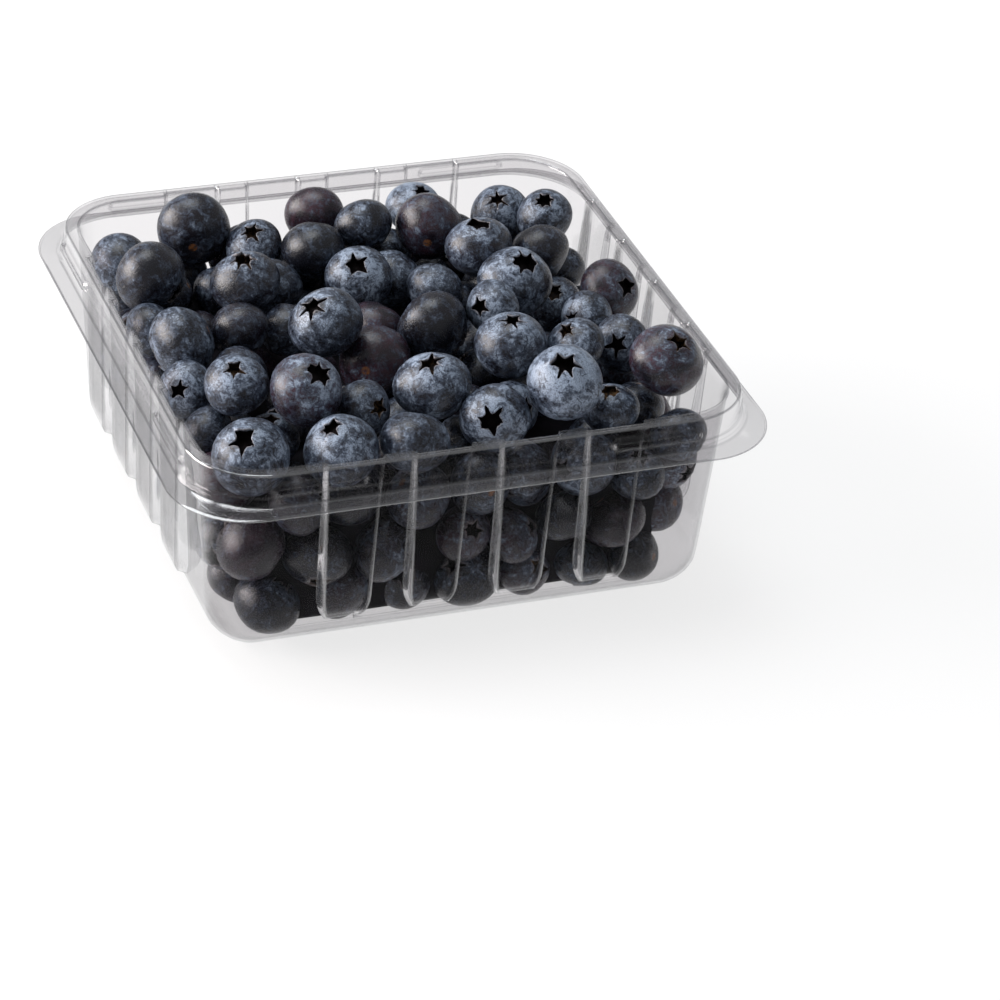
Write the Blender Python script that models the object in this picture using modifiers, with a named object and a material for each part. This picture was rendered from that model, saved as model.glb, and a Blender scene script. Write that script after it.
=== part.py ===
"""A clear plastic punnet heaped with blueberries, standing on its base.

Frame: origin at the middle of the base, +Z up, +X and +Y along the sides of the square punnet.
Two solids: the thin formed tray, and its berries as one heap out to their lumpy outline.
"""

import math
import random

import bmesh
import bpy

MM = 0.001

# The tray's half widths: of the face that looks up and out at the rim, and of the wall's inner face.
TRAY_HEIGHT = 47.5 * MM
SHEET = 0.5 * MM
FLANGE_HALF = 62.75 * MM
STEP_HALF = 59.5 * MM
SKIRT_FOOT_HALF = 58.6 * MM
LEDGE_HALF = 58.0 * MM
WALL_TOP_HALF = 54.8 * MM
WALL_FOOT_HALF = 53.2 * MM
FILLET_HALF = 51.4 * MM
BASE_HALF = 47.0 * MM

# Its corners are round about one middle, except the flange's, which is a little squarer.
CORNER_MIDDLE = 43.0 * MM
FLANGE_CORNER_MIDDLE = 46.6 * MM
CORNER_STEPS = 6

# A square panel of the base stands a little lower than the rest of it, and carries the punnet.
FOOT_HALF = 42.0 * MM
FOOT_DEPTH = 0.4 * MM

# Levels, each a drop below the top of the ledge.
LUG_TOP_DROP = 2.2 * MM
LUG_FOOT_DROP = 4.3 * MM
LUG_SLOPE = 0.4 * MM
STEP_DROP = 5.8 * MM
FLANGE_EDGE_DROP = 6.8 * MM
FLUTE_SHOULDER_DROP = 4.0 * MM
TOE_START_DROP = 31.0 * MM
TOE_MIDDLE_DROP = 37.5 * MM
TOE_END_DROP = 40.5 * MM
FILLET_DROP = 45.0 * MM

# Four flutes bulge out of each wall, and each ends in a rounded toe above the base.
FLUTES = 4
FLUTE_PITCH = 18.1 * MM
FLUTE_TOP_WIDTH = 11.6 * MM
FLUTE_FOOT_WIDTH = 9.6 * MM
FLUTE_FLANK = 0.9 * MM
FLUTE_TOP_DEPTH = 1.1 * MM
FLUTE_SHOULDER_DEPTH = 1.7 * MM
FLUTE_DEPTH = 2.1 * MM
TOE_MIDDLE_DEPTH = 1.5 * MM

# Two long snap lugs stand out of each side of the rim, near its corners.
LUG_MIDDLE = 34.0 * MM
LUG_LENGTH = 17.0 * MM
LUG_END = 0.8 * MM
LUG_DEPTH = 0.8 * MM

# The berries: staggered rows of them, low at the walls. One corner is full, two are low, one is empty.
BERRY = 13.4 * MM
ROW_PITCH = 11.8 * MM
OUT_OF_LINE = 1.2 * MM
OUT_OF_LEVEL = 1.5 * MM
HEAP_CELLS = 36
HEAP_HALF = 52.5 * MM
HEAP_CORNER = 11.0 * MM
HEAP_MIDDLE_RISE = 1.2 * MM
HEAP_EDGE_FALL = 6.0 * MM
HEAP_CORNER_FALL = 12.0 * MM
CREASE_DROP = 1.0 * MM
SIDE_CREASE = 1.8 * MM
SIDE_LAYER = 11.0 * MM
HEAP_SHOULDER_DROP = 18.5 * MM
HEAP_FOOT_INSET = 8.5 * MM
HEAP_FOOT = 1.4 * MM
POCKET_REACH = 40.5 * MM
POCKET_DROP = 2.0 * MM
SEED = 7


def clear_scene():
    for thing in list(bpy.data.objects):
        bpy.data.objects.remove(thing, do_unlink=True)


def material(name, colour, roughness, alpha):
    made = bpy.data.materials.new(name)
    made.use_nodes = True
    shader = made.node_tree.nodes["Principled BSDF"]
    shader.inputs["Base Color"].default_value = (*colour, 1.0)
    shader.inputs["Roughness"].default_value = roughness
    shader.inputs["Metallic"].default_value = 0.0
    shader.inputs["Alpha"].default_value = alpha
    return made


def place(name, shape, collection, finish):
    mesh = bpy.data.meshes.new(name)
    shape.to_mesh(mesh)
    shape.free()
    mesh.materials.append(finish)
    item = bpy.data.objects.new(name, mesh)
    collection.objects.link(item)
    return item


def blend(start, end, share):
    return start + (end - start) * share


def flute_middles():
    return [(number - (FLUTES - 1) / 2) * FLUTE_PITCH for number in range(FLUTES)]


def side_stations(flute_width):
    """Places along one side, in order: the four edges of each flute and of each lug."""
    flutes = []
    for middle in flute_middles():
        reach = flute_width / 2
        flutes += [middle - reach, middle - reach + FLUTE_FLANK]
        flutes += [middle + reach - FLUTE_FLANK, middle + reach]
    reach = LUG_LENGTH / 2
    lug = [LUG_MIDDLE - reach, LUG_MIDDLE - reach + LUG_END]
    lug += [LUG_MIDDLE + reach - LUG_END, LUG_MIDDLE + reach]
    return sorted(flutes + lug + [-place for place in lug])


def bulge(along, middles, width, flank):
    """1 on a flute or lug, 0 beside it, and a straight slope between."""
    nearest = min(abs(along - middle) for middle in middles)
    return min(1.0, max(0.0, (width / 2 - nearest) / flank))


def level_ring(half, drop, flute_depth=0.0, flute_width=FLUTE_TOP_WIDTH, lug_depth=0.0,
               corner_middle=CORNER_MIDDLE):
    """One level of the tray: the stations of each side, then steps round the corner after it."""
    corner = half - corner_middle
    side = []
    for along in side_stations(flute_width):
        out = half + flute_depth * bulge(along, flute_middles(), flute_width, FLUTE_FLANK)
        out += lug_depth * bulge(along, (-LUG_MIDDLE, LUG_MIDDLE), LUG_LENGTH, LUG_END)
        side.append((out, along))
    for step in range(CORNER_STEPS + 1):
        angle = step / CORNER_STEPS * math.pi / 2
        side.append((corner_middle + corner * math.cos(angle), corner_middle + corner * math.sin(angle)))
    points = []
    for quarter in range(4):
        cos, sin = math.cos(quarter * math.pi / 2), math.sin(quarter * math.pi / 2)
        for out, along in side:
            points.append((out * cos - along * sin, out * sin + along * cos, TRAY_HEIGHT - drop))
    return points


def skirt_ring(drop, lug_depth):
    """The skirt under the ledge leans out a little towards its foot."""
    return level_ring(blend(LEDGE_HALF, SKIRT_FOOT_HALF, drop / STEP_DROP), drop, lug_depth=lug_depth)


def wall_ring(drop, flute_depth):
    """The wall leans in a little towards its foot, and its flutes grow narrower."""
    share = drop / TOE_END_DROP
    width = blend(FLUTE_TOP_WIDTH, FLUTE_FOOT_WIDTH, share)
    return level_ring(blend(WALL_TOP_HALF, WALL_FOOT_HALF, share), drop, flute_depth, width)


def tray_rings():
    """The sheet's levels, from the flange's edge up over the rim and down to the base."""
    return [
        level_ring(FLANGE_HALF, FLANGE_EDGE_DROP, corner_middle=FLANGE_CORNER_MIDDLE),
        level_ring(STEP_HALF, STEP_DROP),
        skirt_ring(LUG_FOOT_DROP + LUG_SLOPE, 0.0),
        skirt_ring(LUG_FOOT_DROP, LUG_DEPTH),
        skirt_ring(LUG_TOP_DROP, LUG_DEPTH),
        skirt_ring(LUG_TOP_DROP - LUG_SLOPE, 0.0),
        level_ring(LEDGE_HALF, 0.0),
        wall_ring(0.0, FLUTE_TOP_DEPTH),
        wall_ring(FLUTE_SHOULDER_DROP, FLUTE_SHOULDER_DEPTH),
        wall_ring(TOE_START_DROP, FLUTE_DEPTH),
        wall_ring(TOE_MIDDLE_DROP, TOE_MIDDLE_DEPTH),
        wall_ring(TOE_END_DROP, 0.0),
        level_ring(FILLET_HALF, FILLET_DROP),
        level_ring(BASE_HALF, TRAY_HEIGHT - SHEET - FOOT_DEPTH),
    ]


def draw_out(shape, edges):
    """Draw a loop of edges out into a fresh loop. Returns its edges, and each old vertex's new one."""
    drawn = bmesh.ops.extrude_edge_only(shape, edges=edges)["geom"]
    fresh = {item for item in drawn if isinstance(item, bmesh.types.BMVert)}
    rim = [item for item in drawn if isinstance(item, bmesh.types.BMEdge)
           and item.verts[0] in fresh and item.verts[1] in fresh]
    heir = {}
    for vert in fresh:
        for edge in vert.link_edges:
            other = edge.other_vert(vert)
            if other not in fresh:
                heir[other] = vert
    return rim, heir


def build_tray(collection):
    """A loop of edges is drawn through the levels, the base is closed, and the sheet gets its thickness."""
    rings = tray_rings()
    shape = bmesh.new()
    verts = bmesh.ops.create_circle(shape, radius=FLANGE_HALF, segments=len(rings[0]))["verts"]
    edges = list(shape.edges)
    for level, points in enumerate(rings):
        if level > 0:
            edges, heir = draw_out(shape, edges)
            verts = [heir[vert] for vert in verts]
        for vert, point in zip(verts, points):
            vert.co = point
    base = bmesh.ops.contextual_create(shape, geom=edges)["faces"][0]
    bmesh.ops.recalc_face_normals(shape, faces=shape.faces)
    if base.normal.z < 0:
        bmesh.ops.reverse_faces(shape, faces=shape.faces)
    clear = material("clear_plastic", (0.80, 0.82, 0.82), 0.12, 0.4)
    tray = place("punnet", shape, collection, clear)
    thicken = tray.modifiers.new("sheet", "SOLIDIFY")
    thicken.thickness = SHEET
    thicken.offset = -1.0
    thicken.use_even_offset = True
    return tray


def add_foot(tray, cutters):
    """The base's lower panel is a thin slab that joins the sheet halfway through its thickness."""
    height = FOOT_DEPTH + SHEET / 2
    shape = bmesh.new()
    bmesh.ops.create_cube(shape, size=1.0)
    bmesh.ops.scale(shape, verts=shape.verts, vec=(2 * FOOT_HALF, 2 * FOOT_HALF, height))
    bmesh.ops.translate(shape, verts=shape.verts, vec=(0.0, 0.0, height / 2))
    mesh = bpy.data.meshes.new("foot")
    shape.to_mesh(mesh)
    shape.free()
    foot = bpy.data.objects.new("foot", mesh)
    cutters.objects.link(foot)
    foot.hide_render = True
    foot.display_type = "WIRE"
    join = tray.modifiers.new("foot", "BOOLEAN")
    join.operation = "UNION"
    join.solver = "EXACT"
    join.object = foot


def heap_level(x, y):
    """The level of a top berry's middle: highest inside, lower at the walls, lowest in three corners."""
    across, along = abs(x) / HEAP_HALF, abs(y) / HEAP_HALF
    fall = HEAP_EDGE_FALL * max(across, along) ** 3
    if x > 0 or y > 0:
        fall += HEAP_CORNER_FALL * (across * along) ** 2
    return TRAY_HEIGHT + HEAP_MIDDLE_RISE - fall


def in_empty_corner(x, y):
    return min(x, y) > POCKET_REACH


def berry_places():
    """Middles of the top berries, each a little out of line and out of level."""
    chance = random.Random(SEED)
    reach = HEAP_HALF - BERRY / 2
    rows = round(2 * reach / ROW_PITCH) + 1
    in_row = round(2 * reach / BERRY) + 1
    places = []
    for row in range(rows):
        for number in range(in_row - row % 2):
            x = blend(-reach, reach, (number + row % 2 / 2) / (in_row - 1))
            x += chance.uniform(-OUT_OF_LINE, OUT_OF_LINE)
            y = blend(-reach, reach, row / (rows - 1)) + chance.uniform(-OUT_OF_LINE, OUT_OF_LINE)
            z = heap_level(x, y) + chance.uniform(-OUT_OF_LEVEL, OUT_OF_LEVEL)
            if not in_empty_corner(x, y):
                places.append((x, y, z))
    return places


def heap_top(x, y, places):
    """The top of the highest berry over this spot, or the crease between berries."""
    top = heap_level(x, y) - CREASE_DROP
    if in_empty_corner(x, y):
        top -= POCKET_DROP
    for berry_x, berry_y, berry_z in places:
        room = (BERRY / 2) ** 2 - (x - berry_x) ** 2 - (y - berry_y) ** 2
        if room > 0:
            top = max(top, berry_z + math.sqrt(room))
    return top


def round_off(u, v):
    """Move a place in the square from -1 to 1 into the heap's outline with its rounded corners."""
    far = max(abs(u), abs(v))
    near = min(abs(u), abs(v))
    if far == 0:
        return 0.0, 0.0
    straight = 1 - HEAP_CORNER / HEAP_HALF
    share = near / far
    long_part = 1.0
    if share > straight:
        angle = (share - straight) / (1 - straight) * math.pi / 4
        share = straight + (1 - straight) * math.sin(angle)
        long_part = straight + (1 - straight) * math.cos(angle)
    near_part, far_part = share * far * HEAP_HALF, long_part * far * HEAP_HALF
    x, y = (far_part, near_part) if abs(u) >= abs(v) else (near_part, far_part)
    return math.copysign(x, u), math.copysign(y, v)


def build_heap(collection):
    """A grid is raised into berry tops, and its edge is drawn down past the layers at the wall."""
    places = berry_places()
    shape = bmesh.new()
    bmesh.ops.create_grid(shape, x_segments=HEAP_CELLS, y_segments=HEAP_CELLS, size=1.0)
    for vert in shape.verts:
        x, y = round_off(vert.co.x, vert.co.y)
        vert.co = (x, y, heap_top(x, y, places))
    edges = [edge for edge in shape.edges if edge.is_boundary]
    shoulder = TRAY_HEIGHT - HEAP_SHOULDER_DROP
    sides = [
        (shoulder, 0.0),
        (shoulder - SIDE_LAYER / 2, SIDE_CREASE),
        (shoulder - SIDE_LAYER, 0.0),
        (shoulder - SIDE_LAYER * 1.5, SIDE_CREASE),
        (HEAP_FOOT, HEAP_FOOT_INSET),
    ]
    scale = 1.0
    for level, inset in sides:
        edges, heir = draw_out(shape, edges)
        wanted = (HEAP_HALF - inset) / HEAP_HALF
        for vert in heir.values():
            vert.co = (vert.co.x * wanted / scale, vert.co.y * wanted / scale, level)
        scale = wanted
    bmesh.ops.contextual_create(shape, geom=edges)
    bmesh.ops.recalc_face_normals(shape, faces=shape.faces)
    skin = material("berry_skin", (0.05, 0.06, 0.11), 0.5, 1.0)
    place("blueberries", shape, collection, skin)


def main():
    clear_scene()
    collection = bpy.data.collections.new("punnet_of_blueberries")
    bpy.context.scene.collection.children.link(collection)
    cutters = bpy.data.collections.new("cutters")
    bpy.context.scene.collection.children.link(cutters)
    tray = build_tray(collection)
    add_foot(tray, cutters)
    build_heap(collection)


main()
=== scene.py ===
"""A clear plastic punnet heaped with blueberries, on a plain pale floor in soft studio light."""

import math

import bpy
import numpy as np
from mathutils import Matrix, Vector


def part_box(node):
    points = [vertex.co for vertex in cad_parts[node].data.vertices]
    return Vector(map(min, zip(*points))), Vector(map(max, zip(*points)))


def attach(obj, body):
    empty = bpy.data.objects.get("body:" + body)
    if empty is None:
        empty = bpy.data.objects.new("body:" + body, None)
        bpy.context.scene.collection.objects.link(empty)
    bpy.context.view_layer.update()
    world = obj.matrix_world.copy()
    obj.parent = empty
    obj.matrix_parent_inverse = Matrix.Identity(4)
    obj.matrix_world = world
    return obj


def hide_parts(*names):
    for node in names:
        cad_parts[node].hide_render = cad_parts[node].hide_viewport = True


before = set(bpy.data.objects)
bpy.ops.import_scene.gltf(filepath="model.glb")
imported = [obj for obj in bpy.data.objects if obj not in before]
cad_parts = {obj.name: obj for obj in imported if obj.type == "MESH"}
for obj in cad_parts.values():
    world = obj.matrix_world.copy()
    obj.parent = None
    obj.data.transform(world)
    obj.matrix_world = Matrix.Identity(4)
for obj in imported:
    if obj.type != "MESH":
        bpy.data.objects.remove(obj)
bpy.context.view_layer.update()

MM = 0.001
PUNNET_LOW, PUNNET_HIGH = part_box("punnet")
MIDDLE_X = (PUNNET_LOW.x + PUNNET_HIGH.x) / 2
MIDDLE_Y = (PUNNET_LOW.y + PUNNET_HIGH.y) / 2
LEDGE = PUNNET_HIGH.z
FLOOR = PUNNET_LOW.z


# ---------------------------------------------------------------- shader maths

class Sum:
    """A number socket that Python's operators act on: each operator adds its Math node."""

    def __init__(self, finish, socket):
        self.finish = finish
        self.socket = socket

    def _math(self, operation, *terms):
        return self.finish.number("ShaderNodeMath", {"operation": operation}, dict(enumerate(terms)))

    def __add__(self, other):
        return self._math("ADD", self, other)

    def __sub__(self, other):
        return self._math("SUBTRACT", self, other)

    def __mul__(self, other):
        return self._math("MULTIPLY", self, other)

    def __pow__(self, other):
        return self._math("POWER", self, other)

    def __radd__(self, other):
        return self._math("ADD", other, self)

    def __rsub__(self, other):
        return self._math("SUBTRACT", other, self)

    def __rmul__(self, other):
        return self._math("MULTIPLY", other, self)

    def clamp(self, most=1.0):
        return self.finish.number("ShaderNodeClamp", {}, {"Value": self, "Max": most})

    def ramp(self, low, high):
        """0 below low, 1 above high, and a smooth rise between them."""
        settings = {"interpolation_type": "SMOOTHSTEP"}
        values = {"Value": self, "From Min": low, "From Max": high, "To Min": 0.0, "To Max": 1.0}
        return self.finish.number("ShaderNodeMapRange", settings, values)


class Finish:
    """A material's nodes, added one by one."""

    def __init__(self, name):
        self.material = bpy.data.materials.new(name)
        self.material.use_nodes = True
        self.tree = self.material.node_tree
        self.tree.nodes.clear()

    def node(self, kind, settings=None, values=None):
        made = self.tree.nodes.new(kind)
        for key, setting in (settings or {}).items():
            setattr(made, key, setting)
        for key, value in (values or {}).items():
            socket = made.inputs[key]
            if isinstance(value, Sum):
                self.tree.links.new(value.socket, socket)
            elif isinstance(value, bpy.types.NodeSocket):
                self.tree.links.new(value, socket)
            else:
                socket.default_value = value
        return made

    def number(self, kind, settings, values):
        return Sum(self, self.node(kind, settings, values).outputs[0])

    def attribute(self, name):
        return self.node("ShaderNodeAttribute", {"attribute_name": name}).outputs

    def parts(self, vector):
        outputs = self.node("ShaderNodeSeparateXYZ", {}, {"Vector": vector}).outputs
        return [Sum(self, output) for output in outputs]

    def noise(self, place, scale, detail=2.0, roughness=0.5, distortion=0.0):
        values = {
            "Vector": place,
            "Scale": scale,
            "Detail": detail,
            "Roughness": roughness,
            "Distortion": distortion,
        }
        return Sum(self, self.node("ShaderNodeTexNoise", {}, values).outputs["Fac"])

    def vector(self, x, y, z):
        return self.node("ShaderNodeCombineXYZ", {}, {"X": x, "Y": y, "Z": z}).outputs[0]

    def cracks(self, place, scale):
        """Distance from the nearest line of a net of cracks."""
        settings = {"feature": "DISTANCE_TO_EDGE"}
        return self.number("ShaderNodeTexVoronoi", settings, {"Vector": place, "Scale": scale})

    def mix(self, share, first, second):
        """The first colour where share is 0, the second where it is 1."""
        made = self.node("ShaderNodeMix", {"data_type": "RGBA"}, {0: share})
        for socket, colour in ((made.inputs[6], first), (made.inputs[7], second)):
            if isinstance(colour, bpy.types.NodeSocket):
                self.tree.links.new(colour, socket)
            else:
                socket.default_value = (*colour, 1.0)
        return made.outputs[2]

    def bump(self, height, strength, distance):
        values = {"Height": height, "Strength": strength, "Distance": distance}
        return self.node("ShaderNodeBump", {}, values).outputs["Normal"]

    def close(self, shader):
        self.node("ShaderNodeOutputMaterial", {}, {"Surface": shader})
        return self.material


# ---------------------------------------------------------------- materials

SKIN_DARK = (0.0062, 0.0066, 0.0105)
SKIN_PURPLE = (0.058, 0.022, 0.034)
BLOOM_BLUE = (0.056, 0.076, 0.116)
BLOOM_PALE = (0.32, 0.39, 0.50)
# The crown's hollow: near black, partly its own dark brown and partly painted shade in the recess; its tan
# shows in patches as painted light where its floor is lit.
HOLLOW_DARK_AND_SHADE = (0.0040, 0.0022, 0.0024)
HOLLOW_TAN_LIT = (0.16, 0.095, 0.045)
# Painted highlight: the pale colour laid on the rims of the crown's lobes.
LOBE_RIM_HIGHLIGHT = (0.28, 0.25, 0.25)
SCAR_ORANGE = (0.20, 0.080, 0.025)


def blueberry_skin():
    """Blue-black skin under a patchy, rubbed, speckled wax bloom. The crown's hollow differs: near black,
    partly its own colour and partly painted shade, with patches of painted light on its tan floor. The
    lobes' rims get a painted highlight, and the scar differs too.
    """
    skin = Finish("blueberry_skin")
    spot = skin.attribute("berry_spot")["Vector"]
    bloom_and_shade, purple_amount, luck = skin.parts(skin.attribute("berry_tone")["Vector"])
    hollow, edge, scar = skin.parts(skin.attribute("berry_part")["Vector"])
    from_crown, lit_tan_share = skin.parts(skin.attribute("berry_way")["Vector"])[:2]

    patches = skin.noise(spot, 1.3, 2.0, 0.55, 0.9)
    clouds = skin.noise(spot, 3.6, 4.0, 0.74, 0.9)
    speckle = skin.noise(spot, 12.0, 4.0, 0.80, 0.4)
    pores = skin.noise(spot, 36.0, 1.0, 0.7)
    ring_place = skin.vector(from_crown * 34.0 + clouds * 3.0, luck * 30.0, clouds * 2.0)
    rings = skin.noise(ring_place, 1.0, 2.0, 0.6)
    near_crown = 1 - from_crown.ramp(0.20, 0.50)
    crown_ring = from_crown.ramp(0.09, 0.15) * (1 - from_crown.ramp(0.16, 0.36))
    scratch = (1 - skin.cracks(spot, 1.7).ramp(0.0, 0.022)) * patches.ramp(0.50, 0.60)
    # The berry's bloom number, which for the lower berries is lowered as painted shade.
    wax = bloom_and_shade + (patches - 0.5) * 2.0 + (clouds - 0.5) * 3.2 + (speckle - 0.5) * 3.0
    wax = wax + crown_ring * 0.30 + (rings - 0.5) * near_crown * 0.9 - scratch * 0.5
    thin = wax.ramp(-0.15, 0.75)
    thick = wax.ramp(0.50, 1.20)

    colour = skin.mix(purple_amount * patches.ramp(0.25, 0.75), SKIN_DARK, SKIN_PURPLE)
    colour = skin.mix(thin * 0.92, colour, BLOOM_BLUE)
    colour = skin.mix(thick * 0.88, colour, BLOOM_PALE)
    fleck = (pores * 0.5 + speckle * 0.5).ramp(0.50, 0.56) * (0.45 + luck * 0.55)
    colour = skin.mix(fleck * 0.85, colour, SKIN_DARK)
    # Painted highlight along the rims of the crown's lobes, where the edge mark is set.
    colour = skin.mix(edge * (speckle * 1.5 - 0.3).clamp(), colour, LOBE_RIM_HIGHLIGHT)
    # Inside the crown's hollow: near black as painted shade, with tan patches as painted light on its floor.
    inside = skin.mix((lit_tan_share * clouds.ramp(0.40, 0.62)).clamp(), HOLLOW_DARK_AND_SHADE, HOLLOW_TAN_LIT)
    colour = skin.mix(hollow, colour, inside)
    colour = skin.mix(scar * speckle.ramp(0.34, 0.60), colour, SCAR_ORANGE)

    shine = 0.26 + thin * 0.12 + (pores - 0.5) * 0.25 + hollow * 0.4
    height = speckle * 0.7 + clouds * 0.8 + rings * near_crown * 0.4
    surface = skin.node("ShaderNodeBsdfPrincipled", {}, {
        "Base Color": colour,
        "Roughness": shine.clamp(),
        # Metallic with a near-black colour keeps the hollow dark under any light: more painted shade.
        "Metallic": hollow * 0.85,
        "IOR": 1.5,
        "Normal": skin.bump(height, 0.45, 0.00022),
    })
    return skin.close(surface.outputs[0])


def heap_gap_shade():
    """Painted shade for what shows between the berries deep in the heap: nearly black, dull and uneven."""
    heart = Finish("heap_gap_shade")
    place = heart.node("ShaderNodeTexCoord").outputs["Object"]
    blotch = heart.noise(place, 120.0, 3.0, 0.6, 0.5)
    # Near-black colours, blotched unevenly: painted shade in the heap's gaps.
    colour = heart.mix(blotch.ramp(0.35, 0.65), (0.0030, 0.0028, 0.0035), (0.0090, 0.0080, 0.0110))
    surface = heart.node("ShaderNodeBsdfPrincipled", {}, {
        "Base Color": colour,
        "Roughness": 0.8,
        "IOR": 1.15,
        "Normal": heart.bump(blotch, 0.4, 0.0006),
    })
    return heart.close(surface.outputs[0])


# A full mirror on both faces of the sheet would trap the light between them.
MIRROR_MOST = 0.7


def clear_plastic():
    """Thin clear sheet: seen through, greyer at its bends and where it turns edge on, as painted shade, and
    more of a mirror where it turns edge on.
    """
    sheet = Finish("clear_plastic")
    place = sheet.node("ShaderNodeTexCoord").outputs["Object"]
    ripple = sheet.noise(place, 110.0, 1.0)
    normal = sheet.bump(ripple, 0.25, 0.0006)
    weight = sheet.node("ShaderNodeLayerWeight", {}, {"Blend": 0.5, "Normal": normal})
    facing = Sum(sheet, weight.outputs["Facing"])
    bend, flank, rim = sheet.parts(sheet.attribute("sheet_marks")["Vector"])
    mirror = 0.0025 + facing ** 5.0 * 1.2 + bend * 0.10 + flank * 0.50 + rim * 0.115
    clear = sheet.node("ShaderNodeBsdfTransparent", {}, {"Color": (0.90, 0.895, 0.90, 1.0)})
    # A dark see-through share: painted shade for the dark lines at the sheet's bends and where it turns edge
    # on.
    painted_shade = sheet.node("ShaderNodeBsdfTransparent", {}, {"Color": (0.20, 0.20, 0.22, 1.0)})
    # The share of painted shade: strongest edge on and at the bends.
    film = sheet.node("ShaderNodeMixShader", {}, {
        0: (facing ** 9.0 + bend * 0.55).clamp(),
        1: clear.outputs[0],
        2: painted_shade.outputs[0],
    })
    gloss = sheet.node("ShaderNodeBsdfPrincipled", {}, {
        "Base Color": (0.96, 0.965, 0.97, 1.0),
        "Roughness": 0.06,
        "Metallic": 1.0,
        "Normal": normal,
    })
    surface = sheet.node("ShaderNodeMixShader", {}, {
        0: mirror.clamp(MIRROR_MOST),
        1: film.outputs[0],
        2: gloss.outputs[0],
    })
    return sheet.close(surface.outputs[0])


def floor_finish():
    """A matt floor that glows a little, so that it stays pale and its shadows soft."""
    floor = Finish("pale_floor")
    place = floor.node("ShaderNodeTexCoord").outputs["Object"]
    grain = floor.noise(place, 260.0, 3.0, 0.6)
    colour = floor.mix(grain * 0.04, (0.22, 0.22, 0.22), (0.19, 0.19, 0.19))
    surface = floor.node("ShaderNodeBsdfPrincipled", {}, {
        "Base Color": colour,
        "Roughness": 0.8,
        "Emission Color": (1.0, 1.0, 1.0, 1.0),
        "Emission Strength": 0.76,
    })
    return floor.close(surface.outputs[0])


# ---------------------------------------------------------------- small helpers

def select_only(piece):
    bpy.ops.object.select_all(action="DESELECT")
    piece.select_set(True)
    bpy.context.view_layer.objects.active = piece


def apply_modifiers(piece):
    select_only(piece)
    for modifier in list(piece.modifiers):
        bpy.ops.object.modifier_apply(modifier=modifier.name)


def smooth(piece, degrees):
    select_only(piece)
    bpy.ops.object.shade_smooth_by_angle(angle=math.radians(degrees))


def hand_over(piece, node, material):
    piece.data.materials.clear()
    piece.data.materials.append(material)
    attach(piece, "root")
    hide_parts(node)


def set_mark(mesh, name, rows):
    """Three numbers for each corner, which the material reads by the mark's name."""
    mark = mesh.attributes.new(name, "FLOAT_VECTOR", "POINT")
    mark.data.foreach_set("vector", np.ascontiguousarray(rows, dtype=np.float32).ravel())


def smoothstep(low, high, value):
    share = np.clip((value - low) / (high - low), 0.0, 1.0)
    return share * share * (3.0 - 2.0 * share)


# ---------------------------------------------------------------- the tray
# Sizes in millimetres. A level is a drop below the ledge's top; "along" runs round a quarter of the tray,
# from the middle of a side, past its end at STRAIGHT, and round the corner.

# The way each side faces, as the cosine and sine of its quarter turn.
SIDES = ((1, 0), (0, 1), (-1, 0), (0, -1))

SHEET = 0.5
STRAIGHT = 43.0
FLANGE_HALF = 62.7
FLANGE_STRAIGHT = 46.6
SKIRT_FOOT_HALF = 59.4
SKIRT_FOOT_DROP = 4.8
SKIRT_LEAN = 0.12
LEDGE_HALF = 58.05
WALL_TOP = 54.8
WALL_FOOT = 52.0
BASE_HALF = 44.5
FOOT_PANEL = 42.0
FOOT_DEPTH = 0.4
TRAY_DEPTH = (LEDGE - FLOOR) / MM
BASE_DROP = TRAY_DEPTH - SHEET - FOOT_DEPTH
BASE_CORNER = 4.0
FLUTE_MIDDLES = (-27.15, -9.05, 9.05, 27.15)
LAST_FLUTE_END = 37.0
FLUTE_WIDTH = 11.5
FLUTE_TAPER = 1.9
FLUTE_FLANK = 0.7
FLUTE_TOP_DEPTH = 1.15
FLUTE_FOOT_DEPTH = 3.1
FLUTE_LEVELS = 24
TOE_START = 32.5
TOE_END = 38.5
TOE_ROUND = 2.4
TOE_NARROWS = 1.6
BASE_LEVELS = 8
BASE_ROUND = 1.7
ROUND_DROP = 1.5
PILL_MIDDLE = 35.0
PILL_HALF_LENGTH = 9.5
PILL_DROP = 3.3
PILL_HALF_HEIGHT = 1.15
PILL_DEPTH = 0.8
SKIRT_LEVELS = 15
SKIRT_STEP = 0.25

# Half widths and drops: up the flange's turned edge, across it and round into the skirt.
FLANGE_PROFILE = ((62.7, 7.05), (62.66, 6.85), (62.5, 6.74), (62.1, 6.67), (61.2, 6.5), (60.3, 6.32),
                  (59.85, 6.2), (59.55, 6.0), (59.38, 5.7), (59.22, 5.42), (58.98, 5.2), (58.78, 5.02))
LEDGE_OUTER_ROUND = ((58.1, 0.85), (58.04, 0.55), (57.93, 0.3), (57.76, 0.13), (57.5, 0.03), (57.15, 0.0))

# Widths beyond the wall's top and drops, then widths beyond the foot panel and depths below the base.
LEDGE_INNER_ROUND = ((1.0, 0.0), (0.65, 0.04), (0.35, 0.16), (0.14, 0.42), (0.04, 0.85))
FOOT_STEP = ((0.9, 0.0), (0.6, 0.06), (0.2, 0.34), (-0.2, FOOT_DEPTH), (-4.0, FOOT_DEPTH))


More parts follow.
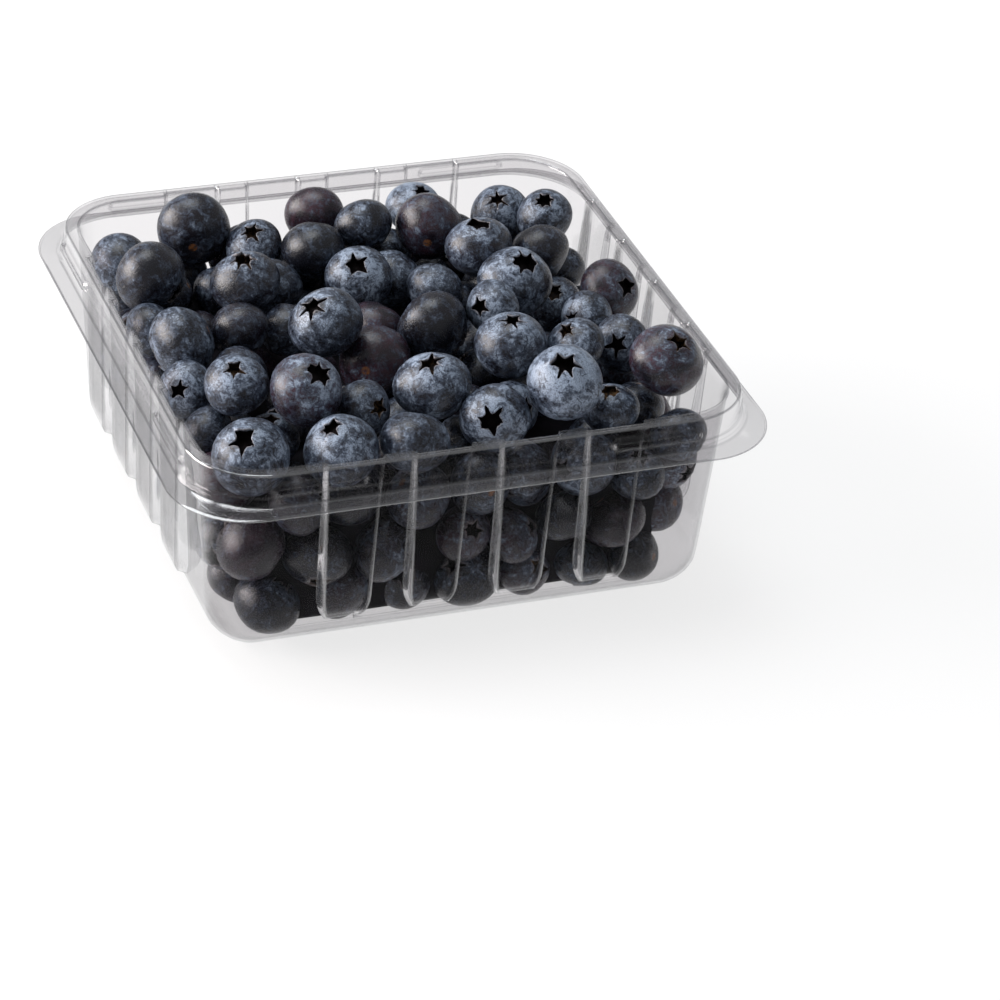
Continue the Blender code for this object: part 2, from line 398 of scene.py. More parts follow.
def side_stations():
    """Places along one side, with the way each moves as the flutes narrow downwards."""
    stations = []
    for middle in FLUTE_MIDDLES:
        for edge in (-1, 1):
            for step in (-0.62, -0.36, -0.17, 0.0, 0.17, 0.36, 0.62):
                stations.append((middle + edge * (FLUTE_WIDTH / 2) + step, -edge))
        for step in (-2.2, 0.0, 2.2):
            stations.append((middle + step, 0))
    for land in (-18.1, 0.0, 18.1):
        stations.append((land, 0))
    for end in (-1, 1):
        for place in (24.3, 25.0, 25.35, 25.7, 26.05, 26.5, 34.6, 36.2, 38.0, 39.8, 41.4, 42.4):
            stations.append((end * place, 0))
    return sorted(stations)


def corner_turns():
    """Shares of a corner's quarter turn, closer together where a pill ends on the corner."""
    near = [0.0, 0.013, 0.027, 0.042, 0.056, 0.07, 0.085, 0.105, 0.14, 0.19, 0.25, 0.31, 0.37, 0.435]
    return near + [0.5] + [1.0 - turn for turn in reversed(near)]


def flute_share(along, narrow):
    """1 on a flute's face and 0 on the lands beside it."""
    share = np.zeros_like(along)
    for middle in FLUTE_MIDDLES:
        inside = FLUTE_WIDTH / 2 - narrow - np.abs(along - middle)
        share = np.maximum(share, smoothstep(-FLUTE_FLANK / 2, FLUTE_FLANK / 2, inside))
    return share


def pill_bulge(along, drop):
    """A long lug with round ends, raised from the skirt on both sides of each side's middle."""
    away = np.maximum(np.abs(np.abs(along) - PILL_MIDDLE) - (PILL_HALF_LENGTH - PILL_HALF_HEIGHT), 0.0)
    reach = np.hypot(away, drop - PILL_DROP)
    return PILL_DEPTH * (1.0 - smoothstep(PILL_HALF_HEIGHT - 0.45, PILL_HALF_HEIGHT + 0.25, reach))


def tray_level(half, drop, straight=STRAIGHT, flute=0.0, narrow=0.0, pills=False):
    """One loop round the tray, as rows of x, y and z."""
    corner = half - straight
    side = np.array([place + moves * narrow for place, moves in side_stations()])
    side_out = half + flute * flute_share(side, narrow)
    if pills:
        side_out = side_out + pill_bulge(side, drop)
    quarter = list(zip(side_out, side * min(1.0, straight / STRAIGHT)))
    for turn in corner_turns():
        angle = turn * math.pi / 2
        radius = corner
        if pills:
            along = STRAIGHT + min(turn, 1.0 - turn) * math.pi / 2 * corner
            radius = corner + float(pill_bulge(np.array(along), drop))
        quarter.append((straight + radius * math.cos(angle), straight + radius * math.sin(angle)))
    loop = []
    for cos, sin in SIDES:
        for out, along in quarter:
            loop.append((out * cos - along * sin, out * sin + along * cos, -drop))
    return loop


def tray_levels():
    """All the loops of the sheet, from the flange's edge up over the rim and down the wall to the base."""
    levels = []
    for half, drop in FLANGE_PROFILE:
        share = min(1.0, max(0.0, (half - SKIRT_FOOT_HALF) / (FLANGE_HALF - SKIRT_FOOT_HALF)))
        levels.append(tray_level(half, drop, STRAIGHT + (FLANGE_STRAIGHT - STRAIGHT) * share))
    for step in range(SKIRT_LEVELS):
        drop = SKIRT_FOOT_DROP - step * SKIRT_STEP
        levels.append(tray_level(LEDGE_HALF + SKIRT_LEAN * drop, drop, pills=True))
    for half, drop in LEDGE_OUTER_ROUND:
        levels.append(tray_level(half, drop))
    for beyond, drop in LEDGE_INNER_ROUND:
        levels.append(tray_level(WALL_TOP + beyond, drop, flute=FLUTE_TOP_DEPTH))
    for step in range(FLUTE_LEVELS + 1):
        drop = ROUND_DROP + step * (TOE_END - ROUND_DROP) / FLUTE_LEVELS
        share = drop / TOE_END
        depth = FLUTE_TOP_DEPTH + (FLUTE_FOOT_DEPTH - FLUTE_TOP_DEPTH) * share
        toe = max(0.0, (drop - TOE_START) / (TOE_END - TOE_START))
        depth *= math.sqrt(max(0.0, 1.0 - toe ** TOE_ROUND))
        narrow = FLUTE_TAPER / 2 * share + TOE_NARROWS * toe ** 2
        half = WALL_TOP + (WALL_FOOT - WALL_TOP) * share
        levels.append(tray_level(half, drop, flute=depth, narrow=narrow))
    for step in range(1, BASE_LEVELS + 1):
        angle = step / BASE_LEVELS * math.pi / 2
        half = BASE_HALF + (WALL_FOOT - BASE_HALF) * max(0.0, math.cos(angle)) ** BASE_ROUND
        drop = TOE_END + (BASE_DROP - TOE_END) * math.sin(angle)
        levels.append(tray_level(half, drop, min(STRAIGHT, half - BASE_CORNER)))
    for beyond, below in FOOT_STEP:
        half = FOOT_PANEL + beyond
        levels.append(tray_level(half, BASE_DROP + below, half - BASE_CORNER))
    return levels


def angle_between(before, after):
    """The turn, in radians, from each row's direction before to its direction after."""
    lengths = np.maximum(np.linalg.norm(before, axis=2) * np.linalg.norm(after, axis=2), 1e-9)
    return np.arccos(np.clip((before * after).sum(2) / lengths, -1.0, 1.0))


def sheet_marks(rings):
    """For each corner of the sheet: how sharp its bend is, how steep its flank, and if it's the flat rim."""
    along = np.roll(rings, -1, 1) - rings
    behind = rings - np.roll(rings, 1, 1)
    across = np.zeros_like(rings)
    across[:-1] = rings[1:] - rings[:-1]
    across[-1] = across[-2]
    above = np.roll(across, 1, 0)
    above[0] = across[0]
    lengths = [np.linalg.norm(step, axis=2) for step in (behind, along, above, across)]
    round_bend = angle_between(behind, along) * 2 / (lengths[0] + lengths[1])
    down_bend = angle_between(above, across) * 2 / (lengths[2] + lengths[3])
    level = rings[:, :, 2]
    on_skirt = (level < -1.2) & (level > -SKIRT_FOOT_DROP - 0.1)
    bend = smoothstep(0.75, 1.7, np.maximum(round_bend, down_bend)) * np.where(on_skirt, 0.35, 1.0)
    run = along + behind
    away_x, away_y = np.abs(rings[:, :, 0]), np.abs(rings[:, :, 1])
    outward = np.where(away_x > away_y, np.abs(run[:, :, 0]), np.abs(run[:, :, 1]))
    flank = smoothstep(0.55, 0.95, outward / np.linalg.norm(run, axis=2))
    flank = flank * (np.minimum(away_x, away_y) < LAST_FLUTE_END) * smoothstep(0.3, 2.5, -level)
    rim = ((level > -0.5) | (level < -6.0)) * (np.maximum(away_x, away_y) > WALL_TOP + 1.2)
    return np.stack([bend, flank, rim], 2).reshape(-1, 3)


def make_tray(material):
    """A ring of edges is extruded level by level, closed at the base, and given the sheet's thickness."""
    levels = tray_levels()
    bpy.ops.object.select_all(action="DESELECT")
    bpy.ops.mesh.primitive_circle_add(vertices=len(levels[0]), radius=FLANGE_HALF * MM,
                                      location=(MIDDLE_X, MIDDLE_Y, LEDGE))
    tray = bpy.context.object
    tray.name = "punnet_tray"
    bpy.ops.object.transform_apply(location=True, rotation=True, scale=True)
    bpy.ops.object.mode_set(mode="EDIT")
    bpy.ops.mesh.select_all(action="SELECT")
    for _ in levels[1:]:
        bpy.ops.mesh.extrude_edges_move()
    bpy.ops.mesh.edge_face_add()
    bpy.ops.object.mode_set(mode="OBJECT")
    spots = np.array(levels, float).reshape(-1, 3) * MM + np.array((MIDDLE_X, MIDDLE_Y, LEDGE))
    tray.data.vertices.foreach_set("co", spots.ravel())
    tray.data.update()
    set_mark(tray.data, "sheet_marks", sheet_marks(np.array(levels, float)))
    bpy.ops.object.mode_set(mode="EDIT")
    bpy.ops.mesh.select_all(action="SELECT")
    bpy.ops.mesh.normals_make_consistent(inside=False)
    bpy.ops.object.mode_set(mode="OBJECT")
    base = max(tray.data.polygons, key=lambda face: len(face.vertices))
    if base.normal.z < 0:
        tray.data.flip_normals()
    sheet = tray.modifiers.new("sheet", "SOLIDIFY")
    sheet.thickness = SHEET * MM
    sheet.offset = -1.0
    sheet.use_even_offset = True
    apply_modifiers(tray)
    smooth(tray, 40)
    hand_over(tray, "punnet", material)


# ---------------------------------------------------------------- one berry
# A berry is shaped about its own middle, crown upwards, with its widest radius as 1.

BODY_TURNS_FINE = (0.66, 0.76, 0.88, 1.03, 1.19, 1.35, 1.51, 1.67, 1.83, 1.99, 2.15, 2.31, 2.46, 2.60, 2.72,
                   2.83, 2.91, 2.97, 3.005, 3.035, 3.065, 3.1)
BODY_TURNS_PLAIN = (0.68, 0.88, 1.10, 1.34, 1.58, 1.82, 2.06, 2.30, 2.54, 2.74, 2.90, 2.99, 3.05)
HOLLOW_FINE = ((0.40, 0.80), (0.72, 0.95), (0.96, 0.90), (1.05, 0.52), (1.0, 0.16))
HOLLOW_PLAIN = ((0.60, 0.90), (1.0, 0.80), (1.03, 0.25))
LIP_FINE = (0.0, 0.10, 0.30, 0.60)
LIP_PLAIN = (0.0, 0.35)
SCAR_TURN = 3.03

# Where the corners lie along each lobe of a crown with this many lobes, closer together at its slits.
SLIT_PLACES = {
    5: (0.0, 0.07, 0.14, 0.24, 0.5, 0.76, 0.86, 0.93),
    6: (0.0, 0.07, 0.15, 0.26, 0.5, 0.74, 0.85, 0.93),
    7: (0.0, 0.09, 0.19, 0.5, 0.81, 0.91),
}


def mould(lobes, turns, hollow, lip):
    """The plain ball that a berry with this many lobes is shaped from, with each corner's loop and place."""
    in_lobe = SLIT_PLACES[lobes]
    around = lobes * len(in_lobe)
    loops = len(hollow) + len(lip) + len(turns)
    bpy.ops.object.select_all(action="DESELECT")
    bpy.ops.mesh.primitive_uv_sphere_add(segments=around, ring_count=loops + 1, radius=1.0)
    ball = bpy.context.object
    count = len(ball.data.vertices)
    spots = np.zeros(count * 3)
    ball.data.vertices.foreach_get("co", spots)
    spots = spots.reshape(-1, 3)
    down = np.rint(np.arccos(np.clip(spots[:, 2], -1, 1)) / math.pi * (loops + 1)).astype(int)
    step = np.rint(np.arctan2(spots[:, 1], spots[:, 0]) / (2 * math.pi) * around).astype(int) % around
    lobe_place = np.array([(number + place) / lobes for number in range(lobes) for place in in_lobe])
    return {
        "ball": ball,
        "lobes": lobes,
        "loop": down,
        "step": step,
        "around": around,
        "crown_turn": lobe_place * 2 * math.pi,
        "turns": turns,
        "hollow": hollow,
        "lip": lip,
    }


def body_height(radius, squat):
    """Height of the berry's upper side at a distance from its axis, with a flat crown shoulder."""
    dome = np.sqrt(np.maximum(0.0, 1.0 - radius ** 2))
    collar = 0.022 * np.exp(-((radius - 0.47) / 0.10) ** 2)
    return squat * (dome - 0.06 * np.exp(-(radius / 0.32) ** 2) + collar)


def shape_berry(kit, berry, luck):
    """Corner places of one berry, and what its skin reads: the way from the crown, the hollow (painted near
    black, partly as shade), the edge (the lobes' rims, given a painted highlight) and the scar.
    """
    loop, step = kit["loop"], kit["step"]
    lobes = kit["lobes"]
    even = step / kit["around"] * 2 * math.pi
    crown_turn = kit["crown_turn"][step]
    wobble = luck.uniform(0, 2 * math.pi, 4)
    uneven = crown_turn + 0.10 * np.sin(crown_turn + wobble[0]) + 0.05 * np.sin(2 * crown_turn + wobble[1])
    lobe_count = crown_turn * lobes / (2 * math.pi)
    in_lobe = lobe_count % 1.0
    from_slit = np.minimum(in_lobe, 1.0 - in_lobe)
    arm_luck = luck.uniform(-1, 1, lobes)[np.rint(lobe_count).astype(int) % lobes]
    tip_luck = luck.uniform(-1, 1, lobes)[lobe_count.astype(int) % lobes]
    arm = berry["crown"] * (1.0 + 0.26 * arm_luck)
    tip = berry["crown"] * berry["open"] * (1.0 + 0.24 * tip_luck)
    arm_width = 0.155 + 0.035 * arm_luck
    slit = np.clip(1.0 - from_slit / arm_width, 0.0, 1.0) ** 0.55
    lobe_slope = np.clip((0.5 - from_slit) / 0.3, 0.0, 1.0) * 0.12 * berry["crown"]
    outline = tip + lobe_slope + (arm - tip - lobe_slope) * slit
    outline = outline * (1.0 + 0.055 * luck.uniform(-1, 1, kit["around"])[step])

    count = len(loop)
    radius, height, turn = np.zeros(count), np.zeros(count), even.copy()
    hollow, edge, scar = np.zeros(count), np.zeros(count), np.zeros(count)
    squat = berry["squat"]
    depth = berry["depth"]

    pole = loop == 0
    height[pole] = body_height(0.0, squat) - depth * 0.75
    hollow[pole] = 1.0
    number = 1
    for share, sink in kit["hollow"]:
        here = loop == number
        radius[here] = outline[here] * share
        height[here] = body_height(outline[here], squat) - depth * sink
        hollow[here] = 1.0
        turn[here] = uneven[here]
        number += 1
    shoulder = math.sin(kit["turns"][0])
    for share in kit["lip"]:
        here = loop == number
        radius[here] = outline[here] + (shoulder - outline[here]) * share
        lift = berry["lift"] * (1.0 - share) ** 2 * (1.0 - 0.8 * slit[here]) * (1.0 + 0.7 * tip_luck[here])
        height[here] = body_height(radius[here], squat) + lift
        turn[here] = uneven[here]
        # The edge mark: the rims of the lobes, which the skin gives a painted highlight.
        edge[here] = 1.0 if share == 0.0 else 0.0
        number += 1
    for place, body_turn in enumerate(kit["turns"]):
        here = loop == number
        settle = math.exp(-place * 0.8)
        radius[here] = math.sin(body_turn)
        height[here] = squat * math.cos(body_turn)
        if body_turn < math.pi / 2:
            height[here] = body_height(radius[here], squat)
        turn[here] = even[here] + (uneven[here] - even[here]) * settle
        scar[here] = 1.0 if body_turn >= SCAR_TURN else 0.0
        if body_turn > 2.7:
            height[here] += 0.07 * smoothstep(0.36, 0.10, math.sin(body_turn)) * squat
        number += 1
    foot = loop == number
    height[foot] = -squat * 0.94
    scar[foot] = 1.0

    x, y = radius * np.cos(turn), radius * np.sin(turn)
    oval = 1.0 + berry["oval"] * np.cos(2 * (turn - wobble[2])) * (radius > 0.45)
    bulge = 1.0 + 0.022 * np.sin(2.3 * x + 3.1 * height + wobble[3])
    bulge = bulge + 0.016 * np.sin(3.7 * y - 2.2 * x + wobble[0])
    spots = np.stack([x * oval * bulge, y * oval * bulge, height * bulge], 1)
    way = np.arctan2(np.hypot(spots[:, 0], spots[:, 1]), spots[:, 2]) / math.pi
    return spots, way, hollow, edge, scar


def make_berry(kit, berry, number, luck):
    """One berry of its own size, leaning its own way, as a copy of its mould."""
    piece = kit["ball"].copy()
    piece.data = kit["ball"].data.copy()
    bpy.context.collection.objects.link(piece)
    spots, way, hollow, edge, scar = shape_berry(kit, berry, luck)
    pose = (Matrix.Rotation(math.radians(berry["heading"]), 3, "Z")
            @ Matrix.Rotation(math.radians(berry["lean"]), 3, "Y")
            @ Matrix.Rotation(math.radians(berry["spin"]), 3, "Z"))
    placed = spots @ np.array(pose).T * berry["radius"] + berry["place"]
    ones = np.ones(len(spots))
    set_mark(piece.data, "berry_spot", spots + np.array((2.7, 1.9, 3.3)) * (number % 37) + number)
    set_mark(piece.data, "berry_tone", np.outer(ones, (berry["bloom"], berry["purple"], luck.uniform())))
    set_mark(piece.data, "berry_part", np.stack([hollow, edge, scar], 1))
    # The second number: how much painted light the crown's hollow shows on its tan floor.
    set_mark(piece.data, "berry_way", np.stack([way, ones * berry["lit_tan"], ones * 0.0], 1))
    piece.data.vertices.foreach_set("co", (placed * MM + np.array((MIDDLE_X, MIDDLE_Y, LEDGE))).ravel())
    piece.data.polygons.foreach_set("use_smooth", np.ones(len(piece.data.polygons), bool))
    piece.data.update()
    return piece


def join_berries(pieces, name, material):
    """Berries of one kind become one piece."""
    bpy.ops.object.select_all(action="DESELECT")
    for piece in pieces:
        piece.select_set(True)
    bpy.context.view_layer.objects.active = pieces[0]
    bpy.ops.object.join()
    heap = bpy.context.object
    heap.name = name
    heap.data.name = name
    hand_over(heap, "blueberries", material)


# ---------------------------------------------------------------- where the berries lie
# Each top berry is set out on a 3 mm grid from the punnet's middle, with a height, a size and the way its
# crown faces from the lists below, then the bloom and the purple of its skin. They settle from there.

DEEP, LOW, LEVEL, PROUD, RAISED = -10.0, -7.0, -3.5, -0.5, 2.5
SMALL, MEDIUM, LARGE = 12.0, 13.5, 15.0

# Degrees round from +X, and down from straight up.
UP = (-140, 12)
TIPPED = (-125, 28)
TIPPED_LEFT = (-165, 30)
TIPPED_RIGHT = (-65, 27)
FACING = (-125, 60)
FACING_LEFT = (-152, 70)
FACING_RIGHT = (-65, 60)
AWAY = (75, 80)
TURNED_OVER = (55, 108)
SIDE_LEFT = (175, 115)
SIDE_RIGHT = (-40, 115)
UNDER = (-112, 148)
UNDER_LEFT = (-160, 137)
UNDER_RIGHT = (-65, 137)

TOP_BERRIES = (
    # along the back
    (-45, 42, DEEP, LARGE, SIDE_LEFT, 0.4, 0.0), (-30, 42, LEVEL, LARGE, AWAY, 0.1, 0.1),
    (-18, 48, DEEP, MEDIUM, UNDER_RIGHT, 0.1, 0.6), (-18, 36, LOW, SMALL, TIPPED, 0.35, 0.1),
    (-3, 45, LEVEL, MEDIUM, AWAY, -0.05, 0.9), (18, 42, LEVEL, SMALL, TIPPED_RIGHT, 0.8, 0.0),
    (39, 42, LOW, MEDIUM, TIPPED, 0.45, 0.0), (-36, 33, DEEP, SMALL, SIDE_LEFT, 0.05, 0.1),
    (-9, 30, LEVEL, MEDIUM, UNDER, 0.05, 0.0), (3, 33, PROUD, MEDIUM, UNDER_RIGHT, 0.25, 0.0),
    (18, 30, PROUD, LARGE, AWAY, 0.1, 0.7), (45, 33, LEVEL, SMALL, TIPPED, 0.5, 0.0),
    # behind the middle
    (-45, 24, LEVEL, LARGE, SIDE_RIGHT, 0.05, 0.1), (-18, 24, LOW, MEDIUM, UNDER, 0.3, 0.0),
    (6, 21, LOW, MEDIUM, UNDER_LEFT, 0.4, 0.0), (24, 18, PROUD, LARGE, UP, 0.4, 0.2),
    (39, 18, LEVEL, MEDIUM, UNDER_RIGHT, 0.05, 0.1), (45, 24, DEEP, SMALL, UNDER, 0.2, 0.0),
    (-48, 15, LOW, SMALL, SIDE_LEFT, 0.3, 0.0), (-27, 15, PROUD, LARGE, UP, 0.2, 0.1),
    (-3, 15, LEVEL, MEDIUM, TIPPED, 0.5, 0.0), (12, 9, LEVEL, SMALL, UNDER_LEFT, 0.45, 0.0),
    (39, 9, DEEP, SMALL, TIPPED, 0.2, 0.1),
    # across the middle
    (-45, 0, LEVEL, LARGE, SIDE_LEFT, 0.45, 0.0), (-33, 3, LEVEL, SMALL, UNDER_RIGHT, 0.1, 0.2),
    (-21, 6, LOW, SMALL, UNDER, 0.3, 0.1), (-3, 3, LOW, SMALL, UNDER_LEFT, 0.05, 0.9),
    (27, 3, PROUD, LARGE, TIPPED_RIGHT, 0.5, 0.0), (48, 0, LEVEL, MEDIUM, FACING_RIGHT, 0.1, 1.0),
    (-18, -9, RAISED, LARGE, TIPPED_LEFT, 0.4, 0.0), (-6, -9, LOW, LARGE, TURNED_OVER, 0.05, 1.0),
    (6, -6, LEVEL, LARGE, SIDE_RIGHT, 0.1, 0.1), (18, -6, PROUD, SMALL, FACING_LEFT, 0.65, 0.0),
    (39, -9, LEVEL, SMALL, FACING_LEFT, 0.45, 0.0), (-36, -9, LOW, SMALL, UNDER_LEFT, 0.25, 0.1),
    (-48, -12, LOW, SMALL, FACING, 0.5, 0.0),
    # before the middle
    (-42, -24, PROUD, MEDIUM, TIPPED, 0.4, 0.1), (-48, -24, DEEP, SMALL, SIDE_RIGHT, 0.35, 0.0),
    (3, -21, LOW, SMALL, UNDER_RIGHT, 0.3, 0.0), (18, -21, PROUD, LARGE, UP, 0.5, 0.1),
    (30, -24, PROUD, SMALL, TIPPED_LEFT, 0.4, 0.0), (42, -21, LEVEL, SMALL, FACING, 0.4, 0.1),
    # along the front
    (-36, -30, DEEP, SMALL, UP, 0.35, 0.1), (-30, -33, RAISED, LARGE, TIPPED_RIGHT, 0.3, 0.8),
    (-18, -33, LEVEL, SMALL, FACING_RIGHT, 0.3, 0.1), (-3, -33, PROUD, LARGE, UP, 0.6, 0.1),
    (15, -30, DEEP, SMALL, FACING_RIGHT, 0.55, 0.0), (42, -33, DEEP, SMALL, UNDER, 0.2, 0.0),
    (45, -36, PROUD, LARGE, TIPPED_RIGHT, 0.15, 1.0), (33, -39, LOW, SMALL, UP, 0.4, 0.0),
    (-45, -45, LEVEL, LARGE, TIPPED, 0.5, 0.0), (-27, -48, LEVEL, LARGE, TIPPED_LEFT, 0.55, 0.1),
    (-12, -48, LEVEL, MEDIUM, UNDER, 0.45, 0.0), (6, -42, LEVEL, MEDIUM, FACING, 0.5, 0.0),
    (21, -42, RAISED, LARGE, TIPPED, 0.8, 0.0), (45, -48, DEEP, SMALL, UNDER_RIGHT, 0.2, 0.0),
    # filling the gaps below
    (-30, 33, DEEP, SMALL, UNDER_LEFT, 0.15, 0.0), (-12, 39, DEEP, SMALL, UNDER, 0.15, 0.2),
    (12, 39, DEEP, SMALL, UNDER_RIGHT, 0.2, 0.0), (30, 36, DEEP, SMALL, UNDER_LEFT, 0.15, 0.0),
    (-12, 18, DEEP, SMALL, UNDER_RIGHT, 0.2, 0.3), (21, 15, DEEP, SMALL, UNDER, 0.2, 0.0),
)
TOP_CEILING = 5.0
TOP_ROUNDS = 40
LOWER_CEILING = -14.0
LOWER_ROUNDS = 300
WALL_CLEARANCE = 0.35
TOUCHING = 0.975
CORNER_MIDDLE = STRAIGHT - 1.0
WALL_LAYERS = ((-40.0, 9.0), (-29.5, 7.2), (-19.5, 7.2))
IN_WALL_ROW = 7
AT_THE_WALLS = len(WALL_LAYERS) * 4 * IN_WALL_ROW
SEED = 20
FLOOR_LEVEL = -BASE_DROP + 0.1


def wall_reach(level):
    """How far from the middle the tray's inner face is, at a level below the ledge."""
    wall = WALL_TOP + (WALL_FOOT - WALL_TOP) * np.clip(-level / TOE_END, 0.0, 1.0)
    sine = np.clip((-level - TOE_END) / (BASE_DROP - TOE_END), 0.0, 1.0)
    return wall - (WALL_FOOT - BASE_HALF) * (1.0 - (1.0 - sine ** 2) ** (BASE_ROUND / 2))


def room_inside(levels, radii):
    """How far from the middle a berry's own middle may lie, with its side and its underside in the tray."""
    room = wall_reach(levels) - radii
    for dip in (0.35, 0.7, 1.05, 1.4):
        room = np.minimum(room, wall_reach(levels - radii * math.sin(dip)) - radii * math.cos(dip))
    return room - WALL_CLEARANCE


def settle(places, radii, held, ceilings, rounds):
    """Push overlapping berries apart and keep them in the tray, under their ceilings. Held ones stay."""
    give = np.where(held, 0.0, 1.0) + 1e-6
    first, second = np.triu_indices(len(radii), 1)
    for _ in range(rounds):
        apart = places[first] - places[second]
        distance = np.maximum(np.linalg.norm(apart, axis=1), 1e-6)
        overlap = (radii[first] + radii[second]) * TOUCHING - distance
        hit = overlap > 0
        shares = give[first] / (give[first] + give[second])
        push = apart / distance[:, None] * (overlap * hit)[:, None]
        moved = np.zeros_like(places)
        np.add.at(moved, first, push * shares[:, None])
        np.add.at(moved, second, -push * (1 - shares)[:, None])
        places = places + moved * 0.9
        room = room_inside(places[:, 2], radii)
        places[:, 0] = np.clip(places[:, 0], -room, room)
        places[:, 1] = np.clip(places[:, 1], -room, room)
        out = np.abs(places[:, :2]) - CORNER_MIDDLE
        far = np.maximum(np.hypot(np.maximum(out[:, 0], 0), np.maximum(out[:, 1], 0)), 1e-6)
        corner = (out > 0).all(1) & (far > room - CORNER_MIDDLE)
        pull = np.maximum(room - CORNER_MIDDLE, 0.0) / far
        for axis in (0, 1):
            kept = np.sign(places[:, axis]) * (CORNER_MIDDLE + out[:, axis] * pull)
            places[:, axis] = np.where(corner, kept, places[:, axis])
        places[:, 2] = np.clip(places[:, 2], FLOOR_LEVEL + radii * 1.03, ceilings)
    return places


def lower_places(luck):
    """Rough places for the berries against the walls, on the base, and under the top ones."""
    places = []
    for level, inset in WALL_LAYERS:
        reach = WALL_TOP - inset
        for cos, sin in SIDES:
            for number in range(IN_WALL_ROW):
                along = -reach + (number + 0.5 + luck.uniform(-0.15, 0.15)) * 2 * reach / IN_WALL_ROW
                spot = (reach * cos - along * sin, reach * sin + along * cos)
                places.append((*spot, level + luck.uniform(-2.5, 2.5)))
    for level, rows, reach in ((-40.0, 6, 33.0), (-16.0, 6, 36.0)):
        for row in range(rows):
            for number in range(rows):
                x = -reach + (number + (row % 2) * 0.5) * 2 * reach / (rows - 0.5)
                y = -reach + row * 2 * reach / (rows - 1)
                places.append((x + luck.uniform(-1.5, 1.5), y + luck.uniform(-1.5, 1.5),
                               level + luck.uniform(-2, 2)))
    return np.array(places)


def looks(luck):
    """The uneven rest of a berry: how squat and oval it is, and what its crown is like."""
    return {
        "squat": luck.uniform(0.80, 0.91),
        "oval": luck.uniform(0.0, 0.04),
        "crown": luck.uniform(0.34, 0.43),
        "open": luck.uniform(0.40, 0.66),
        "depth": luck.uniform(0.18, 0.30),
        "lift": luck.uniform(0.02, 0.075),
        "spin": luck.uniform(0, 360),
        # How much painted light shows on the tan floor of the crown's hollow.
        "lit_tan": max(0.0, luck.uniform(-2.2, 1.0)),
    }


def make_blueberries(material):
    """The top berries settle first and are then held, while the lower ones settle under them."""
    luck = np.random.RandomState(SEED)
    top_places = np.array([berry[:3] for berry in TOP_BERRIES], float)
    top_radii = np.array([berry[3] for berry in TOP_BERRIES]) * luck.uniform(0.47, 0.53, len(TOP_BERRIES))
    lower = lower_places(luck)
    lower_radii = luck.uniform(5.6, 7.4, len(lower))
    places = np.concatenate([top_places, lower])
    radii = np.concatenate([top_radii, lower_radii])
    top_count = len(TOP_BERRIES)
    free = np.zeros(top_count, bool)
    ceiling = np.full(top_count, TOP_CEILING)
    places[:top_count] = settle(places[:top_count], radii[:top_count], free, ceiling, TOP_ROUNDS)
    held = np.arange(len(places)) < top_count
    ceilings = np.where(held, TOP_CEILING, LOWER_CEILING)
    places = settle(places, radii, held, ceilings, LOWER_ROUNDS)

    fine = {lobes: mould(lobes, BODY_TURNS_FINE, HOLLOW_FINE, LIP_FINE) for lobes in (5, 6, 7)}
    plain = {lobes: mould(lobes, BODY_TURNS_PLAIN, HOLLOW_PLAIN, LIP_PLAIN) for lobes in (5, 6, 7)}
    top, wall, under = [], [], []
    for number in range(len(places)):
        lobes = luck.choice((5, 5, 6, 6, 7))
        berry = looks(luck)
        berry["place"] = places[number]
        berry["radius"] = radii[number]
        if number < top_count:
            (heading, lean), bloom, purple = TOP_BERRIES[number][4:]
            berry.update(heading=heading + luck.uniform(-9, 9), lean=lean + luck.uniform(-6, 6),
                         bloom=bloom, purple=purple)
            top.append(make_berry(fine[lobes], berry, number, luck))
            continue
        # The lower berries get less bloom than the top ones: painted shade, for the berries above that shade
        # them.
        berry.update(heading=luck.uniform(0, 360), lean=math.degrees(math.acos(luck.uniform(-1, 1))),
                     bloom=luck.uniform(-0.25, 0.35), purple=max(0.0, luck.uniform(-0.8, 0.9)))
        kind = wall if number < top_count + AT_THE_WALLS else under
        kind.append(make_berry(plain[lobes], berry, number, luck))
    join_berries(top, "blueberries_on_top", material)
    join_berries(wall, "blueberries_at_the_walls", material)
    join_berries(under, "blueberries_below", material)
    for kit in list(fine.values()) + list(plain.values()):
        bpy.data.objects.remove(kit["ball"], do_unlink=True)


CORE_WIDTH = 88.0
CORE_HEIGHT = 30.0
CORE_DROP = 31.0
CORE_LUMP = 1.1


def make_shade_core(material):
    """Painted shade in the middle of the heap: a lumpy dark block inside the berries, which shows only in
    their gaps.
    """
    bpy.ops.object.select_all(action="DESELECT")
    bpy.ops.mesh.primitive_cube_add(size=1.0, location=(MIDDLE_X, MIDDLE_Y, LEDGE - CORE_DROP * MM),
                                    scale=(CORE_WIDTH * MM, CORE_WIDTH * MM, CORE_HEIGHT * MM))
    core = bpy.context.object
    core.name = "blueberries_shade_core"
    bpy.ops.object.transform_apply(location=True, rotation=True, scale=True)
    bpy.ops.object.mode_set(mode="EDIT")
    bpy.ops.mesh.select_all(action="SELECT")
    bpy.ops.mesh.bevel(offset=4 * MM, segments=3)
    bpy.ops.mesh.select_all(action="SELECT")
    bpy.ops.mesh.subdivide(number_cuts=3)
    bpy.ops.object.mode_set(mode="OBJECT")
    for vert in core.data.vertices:
        x, y = vert.co.x / MM, vert.co.y / MM
        vert.co.z += CORE_LUMP * MM * math.sin(x * 0.47 + 0.3) * math.sin(y * 0.47 + 1.1)
    smooth(core, 60)
    hand_over(core, "blueberries", material)


# ---------------------------------------------------------------- studio

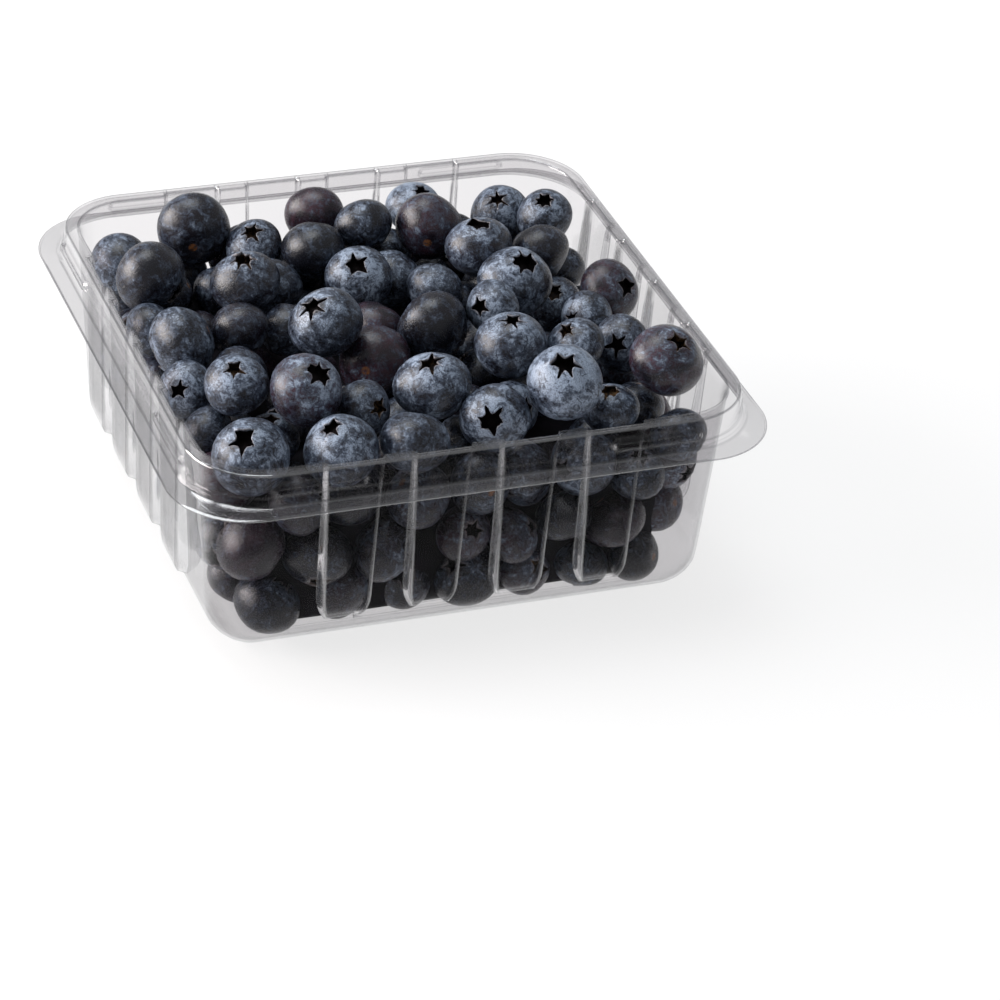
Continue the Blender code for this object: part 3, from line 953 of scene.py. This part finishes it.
CAMERA_BEARING = 22.6
CAMERA_DIP = 32.3
CAMERA_ROLL = 4.7
CAMERA_FROM_LEDGE = (-0.2555, -0.678, 0.412)
CAMERA_LENS = 145.8


def set_camera():
    """A long lens that looks down at the front left corner. Angles in degrees, and metres from the ledge."""
    made = bpy.data.cameras.new("camera")
    made.lens = CAMERA_LENS
    made.sensor_width = 36.0
    made.clip_start = 0.01
    camera = bpy.data.objects.new("camera", made)
    bpy.context.scene.collection.objects.link(camera)
    turn = (Matrix.Rotation(math.radians(-CAMERA_BEARING), 4, "Z")
            @ Matrix.Rotation(math.radians(90 - CAMERA_DIP), 4, "X")
            @ Matrix.Rotation(math.radians(CAMERA_ROLL), 4, "Z"))
    place = Vector((MIDDLE_X, MIDDLE_Y, LEDGE)) + Vector(CAMERA_FROM_LEDGE)
    camera.matrix_world = Matrix.Translation(place) @ turn
    bpy.context.scene.camera = camera


def add_softbox(name, place, size, power, colour=(1.0, 1.0, 1.0)):
    made = bpy.data.lights.new(name, "AREA")
    made.shape = "RECTANGLE"
    made.size, made.size_y = size
    made.energy = power
    made.color = colour
    lamp = bpy.data.objects.new(name, made)
    bpy.context.scene.collection.objects.link(lamp)
    lamp.location = place
    aim = Vector((MIDDLE_X, MIDDLE_Y, LEDGE)) - Vector(place)
    lamp.rotation_euler = aim.to_track_quat("-Z", "Y").to_euler()


def set_studio():
    """A large soft key light at the left, a softer one overhead, and an even pale room."""
    bpy.ops.object.select_all(action="DESELECT")
    bpy.ops.mesh.primitive_plane_add(size=6.0, location=(0.0, 0.0, FLOOR))
    ground = bpy.context.object
    ground.name = "floor"
    bpy.ops.object.transform_apply(location=True, rotation=True, scale=True)
    ground.data.materials.append(floor_finish())
    world = bpy.data.worlds.new("studio")
    world.use_nodes = True
    world.node_tree.nodes["Background"].inputs["Color"].default_value = (0.96, 0.97, 1.0, 1.0)
    world.node_tree.nodes["Background"].inputs["Strength"].default_value = 0.36
    bpy.context.scene.world = world
    bpy.context.scene.view_settings.view_transform = "Standard"
    add_softbox("key", (-1.0, 0.35, 0.42), (1.0, 0.65), 24.0, (1.0, 0.94, 0.92))
    add_softbox("top", (-0.2, 0.45, 1.3), (0.8, 0.8), 10.0, (0.95, 0.98, 1.0))


def main():
    set_camera()
    set_studio()
    skin = blueberry_skin()
    make_tray(clear_plastic())
    make_blueberries(skin)
    # The dark block of painted shade in the heap's gaps.
    make_shade_core(heap_gap_shade())


main()
